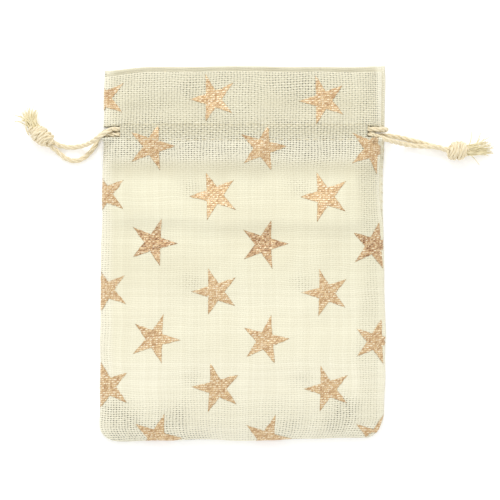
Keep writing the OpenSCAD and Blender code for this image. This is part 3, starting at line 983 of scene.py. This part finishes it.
class Graph:
    """A short way to write a material's nodes."""

    def __init__(self, name):
        self.material = bpy.data.materials.new(name)
        self.material.use_nodes = True
        self.tree = self.material.node_tree
        self.shader = self.tree.nodes["Principled BSDF"]

    def link(self, value, socket):
        if isinstance(value, bpy.types.NodeSocket):
            self.tree.links.new(value, socket)
        else:
            socket.default_value = value

    def math(self, operation, *values, clamp=False):
        node = self.tree.nodes.new("ShaderNodeMath")
        node.operation = operation
        node.use_clamp = clamp
        for value, socket in zip(values, node.inputs):
            self.link(value, socket)
        return node.outputs[0]

    def times(self, a, b, clamp=False):
        return self.math("MULTIPLY", a, b, clamp=clamp)

    def plus(self, a, b):
        return self.math("ADD", a, b)

    def minus(self, a, b):
        return self.math("SUBTRACT", a, b)

    def ramp(self, value, low, high, out_low=0.0, out_high=1.0):
        """A smooth step from out_low to out_high while the value goes from low to high."""
        node = self.tree.nodes.new("ShaderNodeMapRange")
        node.interpolation_type = "SMOOTHSTEP"
        for item, socket in zip((value, low, high, out_low, out_high), node.inputs):
            self.link(item, socket)
        return node.outputs[0]

    def mix(self, share, a, b):
        """Colour a, turning into b as share goes to 1."""
        node = self.tree.nodes.new("ShaderNodeMix")
        node.data_type = "RGBA"
        self.link(share, node.inputs[0])
        self.link(a, node.inputs[6])
        self.link(b, node.inputs[7])
        return node.outputs[2]

    def noise(self, vector, scale, detail=2.0, stretch=None):
        if stretch is not None:
            placed = self.tree.nodes.new("ShaderNodeMapping")
            self.link(vector, placed.inputs["Vector"])
            placed.inputs["Scale"].default_value = stretch
            vector = placed.outputs[0]
        node = self.tree.nodes.new("ShaderNodeTexNoise")
        self.link(vector, node.inputs["Vector"])
        node.inputs["Scale"].default_value = scale
        node.inputs["Detail"].default_value = detail
        return node.outputs["Fac"]

    def sway(self, vector, scale, reach, stretch=None):
        """A slow noise around zero."""
        return self.times(self.minus(self.noise(vector, scale, 1, stretch), 0.5), reach)

    def speckle(self, vector):
        """A random value for each whole-number point."""
        node = self.tree.nodes.new("ShaderNodeTexWhiteNoise")
        self.link(vector, node.inputs["Vector"])
        return node.outputs["Value"]

    def combine(self, x, y, z=0.0):
        node = self.tree.nodes.new("ShaderNodeCombineXYZ")
        for value, socket in zip((x, y, z), node.inputs):
            self.link(value, socket)
        return node.outputs[0]

    def attribute(self, name):
        node = self.tree.nodes.new("ShaderNodeAttribute")
        node.attribute_name = name
        return node.outputs["Fac"]

    def strip(self):
        """The strip coordinates s and v, and both as one vector."""
        uv = self.tree.nodes.new("ShaderNodeUVMap")
        uv.uv_map = "Strip"
        apart = self.tree.nodes.new("ShaderNodeSeparateXYZ")
        self.link(uv.outputs[0], apart.inputs[0])
        return apart.outputs[0], apart.outputs[1], uv.outputs[0]

    def bump(self, height, strength, distance):
        node = self.tree.nodes.new("ShaderNodeBump")
        self.link(height, node.inputs["Height"])
        node.inputs["Strength"].default_value = strength
        node.inputs["Distance"].default_value = distance * MM
        self.link(node.outputs[0], self.shader.inputs["Normal"])


# Spacing of the threads, how far they bow over the sack, and how far they jog from place to place
WARP_PITCH, WEFT_PITCH = 1.05, 0.72
WARP_BOW, WEFT_BOW = 1.8, 2.2
WARP_JOG, WEFT_JOG = 0.45, 0.2
# Mean height of each kind of thread, and how far it rises and falls as it goes over and under
WARP_H, WEFT_H = 0.5, 0.74
WARP_SWING, WEFT_SWING = 0.3, 0.26
# Widths of the holes: where they start, their least edge, and what chance and openness add
HOLE_START = 0.12
HOLE_LEAST = 0.3
HOLE_CHANCE = 0.2
HOLE_OPENED = 0.42

Weave = collections.namedtuple("Weave", "s v both a b height hole cell")


def weave(g, open_and_shaded):
    """Plain weave: strip and thread coordinates, thread height, holes, and a random value a crossing."""
    s, v, both = g.strip()
    s_swayed = g.plus(g.plus(s, g.sway(both, 0.07, WARP_BOW)), g.sway(both, 0.9, WARP_JOG))
    v_bowed = g.plus(v, g.sway(both, 0.07, WEFT_BOW, (1, 1.4, 1)))
    v_swayed = g.plus(v_bowed, g.sway(both, 1.0, WEFT_JOG, (0.5, 1, 1)))
    a = g.math("DIVIDE", s_swayed, WARP_PITCH)
    b = g.math("DIVIDE", v_swayed, WEFT_PITCH)
    wave_a = g.math("SINE", g.times(a, math.pi))
    wave_b = g.math("SINE", g.times(b, math.pi))
    over = g.times(wave_a, wave_b)
    tall_a = g.math("ABSOLUTE", wave_a)
    tall_b = g.math("ABSOLUTE", wave_b)
    warp = g.times(tall_a, g.plus(WARP_H, g.times(over, WARP_SWING)))
    weft = g.times(tall_b, g.minus(WEFT_H, g.times(over, WEFT_SWING)))
    cell = g.speckle(g.combine(g.math("ROUND", a), g.math("ROUND", b), 2.0))
    gap = g.plus(HOLE_LEAST, g.plus(g.times(cell, HOLE_CHANCE), g.times(open_and_shaded, HOLE_OPENED)))
    hole = g.times(g.ramp(tall_a, HOLE_START, gap, 1.0, 0.0), g.ramp(tall_b, HOLE_START, gap, 1.0, 0.0))
    hole = g.times(hole, g.ramp(cell, 0.0, 0.5, 0.35, 1.0))
    return Weave(s, v, both, a, b, g.math("MAXIMUM", warp, weft), hole, cell)


def cloth_material():
    """Woven cotton, whose whiteness with painted light and shade, openness with painted shade in its
    holes, and double layer follow values on the mesh, with painted highlights on its threads and painted
    shade where they dip.
    """
    g = Graph("woven_cotton")
    open_and_shaded = g.attribute("open_weave_and_shade")
    painted_light_and_pale = g.attribute("painted_light_and_pale")
    w = weave(g, open_and_shaded)
    patches = g.ramp(g.noise(w.both, 0.035, 2), 0.38, 0.62)
    plain = g.mix(patches, tint(232, 227, 200), tint(235, 231, 205))
    lined = g.mix(patches, tint(217, 211, 184), tint(222, 217, 191))
    body = g.mix(g.attribute("double_layer"), plain, lined)
    # Painted light where these values are above 0, painted shade where they are below 0
    body = g.mix(painted_light_and_pale, body, tint(247, 243, 222))
    body = g.mix(g.times(painted_light_and_pale, -1.0, clamp=True), body, tint(184, 178, 154))
    warp_shade = g.speckle(g.combine(g.math("FLOOR", w.a), 3.0))
    weft_shade = g.speckle(g.combine(7.0, g.math("FLOOR", w.b)))
    shade = g.plus(g.times(warp_shade, 0.5), g.times(weft_shade, 0.5))
    body = g.mix(g.times(shade, 0.3), body, tint(206, 198, 168))
    # Painted highlight on the tops of the threads, stronger where the weave is open
    shine = g.times(g.ramp(w.height, 0.7, 1.0), g.times(open_and_shaded, 0.7))
    body = g.mix(shine, body, tint(240, 236, 216))
    # Painted shade in the dips between the threads
    low = g.times(g.ramp(w.height, 0.35, 0.85, 1.0, 0.0), g.plus(0.15, g.times(open_and_shaded, 0.4)))
    body = g.mix(low, body, tint(178, 171, 143))
    # Painted shade in the holes of the weave
    hole_shade = g.times(w.hole, g.plus(0.07, g.times(open_and_shaded, 1.5)), clamp=True)
    body = g.mix(hole_shade, body, tint(78, 79, 76))
    g.link(body, g.shader.inputs["Base Color"])
    g.shader.inputs["Roughness"].default_value = 0.92
    g.shader.inputs["Sheen Weight"].default_value = 0.15
    fuzz = g.noise(w.both, 5.0, 2)
    g.bump(g.plus(w.height, g.times(fuzz, 0.25)), 0.55, 0.18)
    return g.material


def foil_material():
    """Pressed foil: bright on the threads with painted glints, with dark specks, worn where the threads
    dip, and painted dull reflection on one row.
    """
    g = Graph("rose_gold_foil")
    w = weave(g, 0.4)
    grain = g.noise(w.both, 2.6, 3, (1.0, 1.4, 1))
    worn = g.times(g.ramp(w.height, 0.45, 0.75, 1.0, 0.0), g.ramp(grain, 0.35, 0.6, 0.2, 1.0))
    worn = g.math("MAXIMUM", worn, g.times(w.hole, 0.6), clamp=True)
    rising = g.minus(w.v, g.times(w.s, 0.45))
    dash = g.speckle(g.combine(g.math("FLOOR", g.times(w.s, 1.3)), g.math("FLOOR", g.times(rising, 2.7))))
    speck = g.plus(g.times(w.cell, 0.3), g.times(dash, 0.7))
    # Painted highlights: glints on the raised threads
    glint = g.times(g.ramp(w.height, 0.45, 0.85), g.ramp(speck, 0.4, 0.8))
    body = g.mix(g.ramp(grain, 0.36, 0.64), tint(208, 176, 124), tint(255, 234, 187))
    body = g.mix(g.times(glint, 0.7), body, tint(255, 252, 232))
    body = g.mix(g.ramp(speck, 0.12, 0.5, 0.75, 0.0), body, tint(160, 116, 74))
    # Painted dull reflection on the row that leans away from the light, with dark dashes there
    painted_dull_reflection = g.attribute("painted_dull_reflection")
    dull = g.times(painted_dull_reflection, g.ramp(g.noise(w.both, 1.2, 2), 0.42, 0.62))
    body = g.mix(dull, body, tint(164, 120, 82))
    body = g.mix(g.times(painted_dull_reflection, g.ramp(dash, 0.08, 0.3, 0.75, 0.0)), body, tint(104, 66, 44))
    g.link(g.mix(worn, body, tint(190, 152, 114)), g.shader.inputs["Base Color"])
    g.link(g.ramp(worn, 0.0, 1.0, 0.6, 0.15), g.shader.inputs["Metallic"])
    g.link(g.ramp(grain, 0.3, 0.7, 0.38, 0.55), g.shader.inputs["Roughness"])
    g.bump(w.height, 0.6, 0.16)
    return g.material


def twisted_material(name, light, dark, fibre):
    """Spun cotton, with its fibres drawn aslant along the strand."""
    g = Graph(name)
    s, v, both = g.strip()
    slant = g.combine(g.plus(s, g.times(v, 1.6)), g.times(v, 0.3))
    strands = g.noise(slant, fibre, 3)
    patches = g.noise(both, 0.5, 2)
    body = g.mix(g.ramp(strands, 0.3, 0.7), tint(*dark), tint(*light))
    body = g.mix(g.ramp(patches, 0.45, 0.75, 0.0, 0.5), body, tint(*light))
    g.link(body, g.shader.inputs["Base Color"])
    g.shader.inputs["Roughness"].default_value = 0.9
    g.shader.inputs["Sheen Weight"].default_value = 0.2
    g.bump(strands, 0.5, 0.15)
    return g.material


def wear(material, *pieces):
    for piece in pieces:
        piece.data.materials.clear()
        piece.data.materials.append(material)


wear(cloth_material(), sack_cloth, mouth_cloth)
wear(foil_material(), sack_stars, lip_stars)
wear(twisted_material("twisted_cotton_cord", (244, 232, 203), (216, 200, 162), 1.6),
     left_rope, right_rope, left_knot, right_knot)
wear(twisted_material("loose_cotton_fibre", (243, 232, 194), (220, 205, 160), 0.8),
     left_tuft, right_tuft)
wear(twisted_material("sewing_thread", (238, 230, 204), (208, 197, 164), 3.0),
     front_thread, back_thread, left_thread, right_thread)

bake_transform(mouth_cloth)
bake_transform(lip_stars)


# ---- floor and light

FLOOR_HALF = 2000
FLOOR_Z = -0.02
KEY_SIZE = 0.35
KEY_POWER = 3.4
KEY_AT = (-0.15, 0.75, 0.62)


def make_floor():
    corners = [(x * FLOOR_HALF, y * FLOOR_HALF, FLOOR_Z) for x, y in ((-1, -1), (1, -1), (1, 1), (-1, 1))]
    floor = new_object("floor", corners, [(0, 1, 2, 3)])
    g = Graph("white_paper")
    place = g.tree.nodes.new("ShaderNodeTexCoord").outputs["Object"]
    paper = g.mix(g.noise(place, 40, 2), tint(250, 250, 250), tint(253, 253, 253))
    g.link(paper, g.shader.inputs["Base Color"])
    g.shader.inputs["Roughness"].default_value = 0.9
    g.shader.inputs["Emission Color"].default_value = (1, 1, 1, 1)
    g.shader.inputs["Emission Strength"].default_value = 0.12
    wear(g.material, floor)


def make_key_light():
    """A soft light from behind the mouth, turned toward the middle of the sack."""
    lamp = bpy.data.lights.new("key", "AREA")
    lamp.size = KEY_SIZE
    lamp.energy = KEY_POWER
    light = bpy.data.objects.new("key", lamp)
    light.location = KEY_AT
    x, y, z = KEY_AT
    light.rotation_mode = "XYZ"
    light.rotation_euler = (math.atan2(math.hypot(x, y), z), 0, math.atan2(x, -y))
    bpy.context.scene.collection.objects.link(light)


def make_studio():
    world = bpy.data.worlds.new("studio")
    world.use_nodes = True
    background = world.node_tree.nodes["Background"]
    background.inputs["Color"].default_value = (1, 1, 1, 1)
    background.inputs["Strength"].default_value = 1.0
    bpy.context.scene.world = world


make_floor()
make_studio()
make_key_light()
bpy.context.scene.view_settings.view_transform = "Standard"
